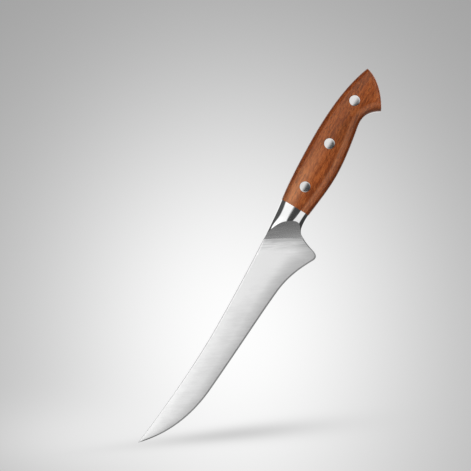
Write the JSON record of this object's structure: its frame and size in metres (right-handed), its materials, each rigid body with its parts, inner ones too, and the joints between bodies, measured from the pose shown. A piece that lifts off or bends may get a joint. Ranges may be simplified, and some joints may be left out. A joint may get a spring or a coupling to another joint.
{
  "type": "boning knife",
  "caption": "Curved boning knife with a forged bolster and full tang, riveted wooden scales and a hooked butt.",
  "frame": {"origin": "under the middle of the knife's box, level with the blade's tip", "axes": "+Z from the tip to the butt, +X towards the cutting edge, +Y out of the right side of the blade"},
  "size_m": [0.046, 0.018, 0.312],
  "materials": {
    "blade_steel": "satin ground blade, mirror polished bolster",
    "scale_wood": "oiled reddish-brown hardwood",
    "rivet_steel": "polished flush with the wood"
  },
  "bodies": {
    "root": {"blade_with_bolster_and_tang": "blade_steel", "left_scale": "scale_wood", "right_scale": "scale_wood", "front_rivet_sleeve": "rivet_steel", "front_rivet_pin": "rivet_steel", "middle_rivet_sleeve": "rivet_steel", "middle_rivet_pin": "rivet_steel", "rear_rivet_sleeve": "rivet_steel", "rear_rivet_pin": "rivet_steel"}
  },
  "joints": []
}
